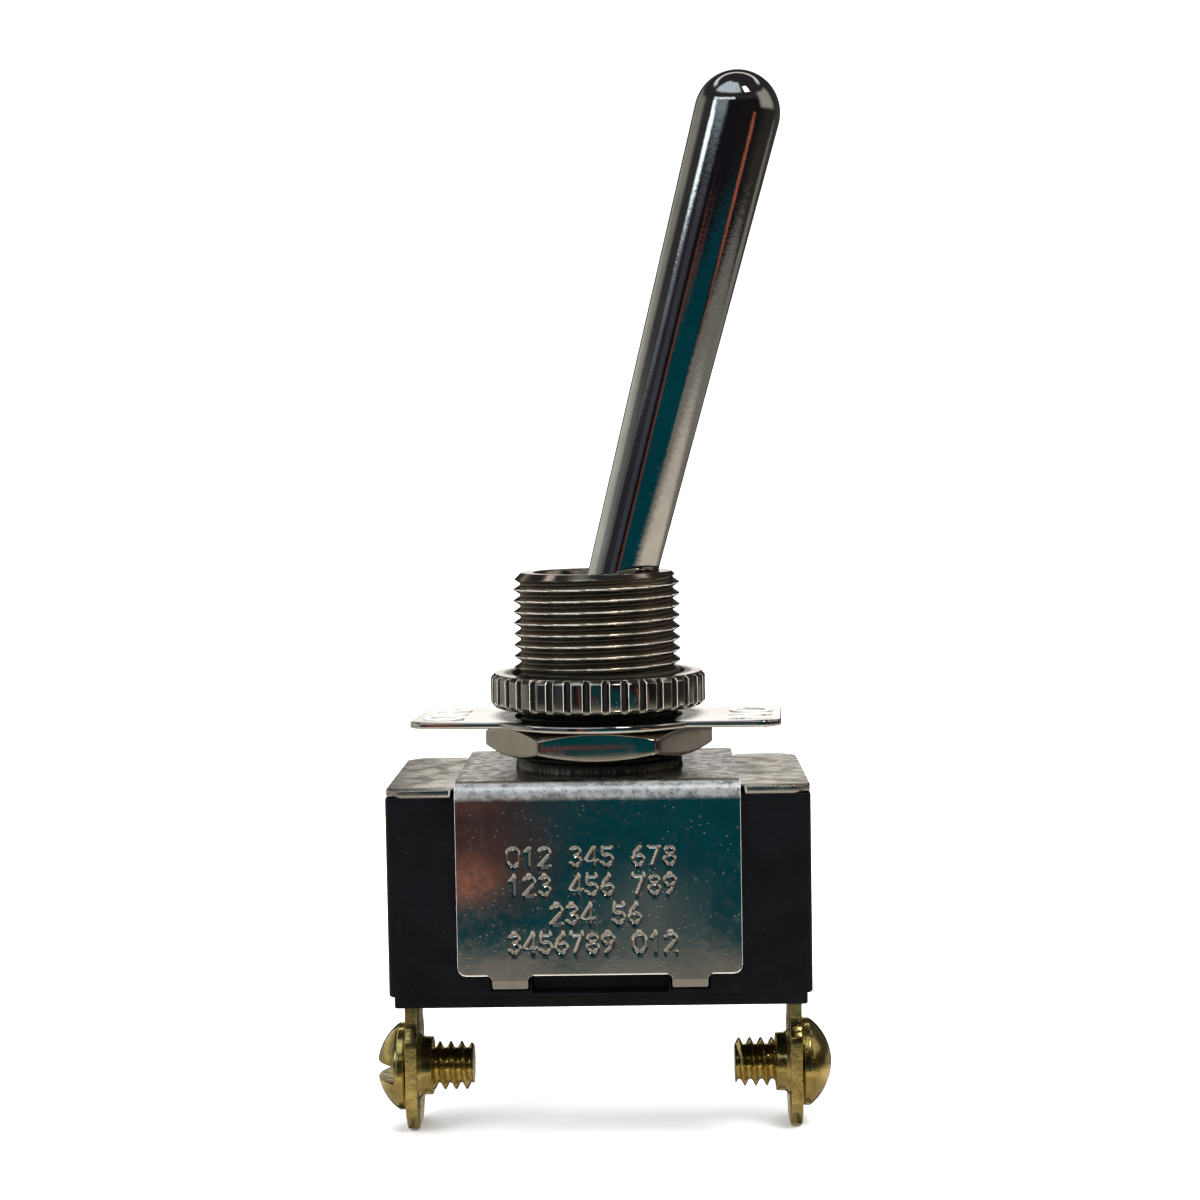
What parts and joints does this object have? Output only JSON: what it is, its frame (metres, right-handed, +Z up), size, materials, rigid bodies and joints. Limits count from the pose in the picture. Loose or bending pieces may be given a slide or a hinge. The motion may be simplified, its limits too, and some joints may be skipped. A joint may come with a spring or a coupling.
{
  "type": "panel toggle switch",
  "caption": "Heavy-duty two-position bat-handle toggle switch with threaded bushing, two nuts, lettered ON-OFF plate, steel frame over a moulded case and two screw terminals.",
  "frame": {"origin": "on the bushing's axis, at the face on which the panel seats (top of the hex nut)", "axes": "+Z up along the bushing to the lever, +X to the ON side, -Y the lettered front of the frame"},
  "size_m": [0.0328, 0.0184, 0.0753],
  "materials": {
    "case_phenolic": "moulded black phenolic, satin",
    "barrier_phenolic": "moulded brown phenolic",
    "cover_steel": "plated sheet steel, satin",
    "frame_steel": "polished plated sheet steel with fine scuffs",
    "bushing_nickel": "nickel-plated brass",
    "lever_chrome": "chrome-plated brass, bright",
    "pin_steel": "drawn steel",
    "plunger_plastic": "natural nylon",
    "spring_steel": "music wire",
    "rocker_phenolic": "moulded brown phenolic",
    "strip_copper": "rolled copper alloy",
    "contact_silver": "silver alloy",
    "terminal_brass": "half-hard sheet brass, bright",
    "screw_brass": "bright machined brass",
    "nut_nickel": "nickel-plated steel, turned faces",
    "label_nickel": "bright nickel-plated sheet with raised letters",
    "knurl_nickel": "nickel-plated brass, fluted rim"
  },
  "bodies": {
    "housing": {"case": "case_phenolic", "barrier": "barrier_phenolic", "cover_plate": "cover_steel", "frame": "frame_steel", "bushing": "bushing_nickel", "left_terminal": "terminal_brass", "right_terminal": "terminal_brass", "fixed_contact": "contact_silver", "rocker_pin": "terminal_brass", "label_plate": "label_nickel"},
    "lever": {"lever": "lever_chrome", "lever_pin": "pin_steel", "plunger_spring": "spring_steel"},
    "plunger": {"plunger": "plunger_plastic"},
    "rocker": {"rocker": "rocker_phenolic", "contact_strip": "strip_copper", "moving_contact": "contact_silver"},
    "hex_nut": {"hex_nut": "nut_nickel"},
    "knurled_nut": {"knurled_nut": "knurl_nickel"},
    "left_screw": {"left_screw": "screw_brass"},
    "right_screw": {"right_screw": "screw_brass"}
  },
  "joints": [
    {"name": "lever_throw", "type": "hinge", "parent": "housing", "child": "lever", "pos_m": [0, 0, 0.0035], "axis": [0, 1, 0], "range_deg": [-29.8, 0]},
    {"name": "plunger_slide", "type": "slide", "parent": "lever", "child": "plunger", "axis": [0.2571, 0, 0.9664], "range_m": [0, 0.0008], "stiffness_N_per_m": 800, "springref_m": -0.004, "deforming": ["plunger_spring"]},
    {"name": "rocker_tilt", "type": "hinge", "parent": "housing", "child": "rocker", "pos_m": [0, 0, -0.0123], "axis": [0, 1, 0], "range_deg": [0, 14.9]},
    {"name": "hex_nut_spin", "type": "hinge", "parent": "housing", "child": "hex_nut", "pos_m": [0, 0, -0.0011], "axis": [0, 0, 1], "continuous": true},
    {"name": "knurled_nut_spin", "type": "hinge", "parent": "housing", "child": "knurled_nut", "pos_m": [0, 0, 0.0024], "axis": [0, 0, 1], "continuous": true},
    {"name": "left_screw_turn", "type": "hinge", "parent": "housing", "child": "left_screw", "pos_m": [-0.0146, 0, -0.025], "axis": [1, 0, 0], "continuous": true},
    {"name": "right_screw_turn", "type": "hinge", "parent": "housing", "child": "right_screw", "pos_m": [0.0146, 0, -0.025], "axis": [1, 0, 0], "continuous": true}
  ],
  "couplings": [
    {"joint": "rocker_tilt", "follows": "lever_throw", "ratio": -0.5}
  ]
}
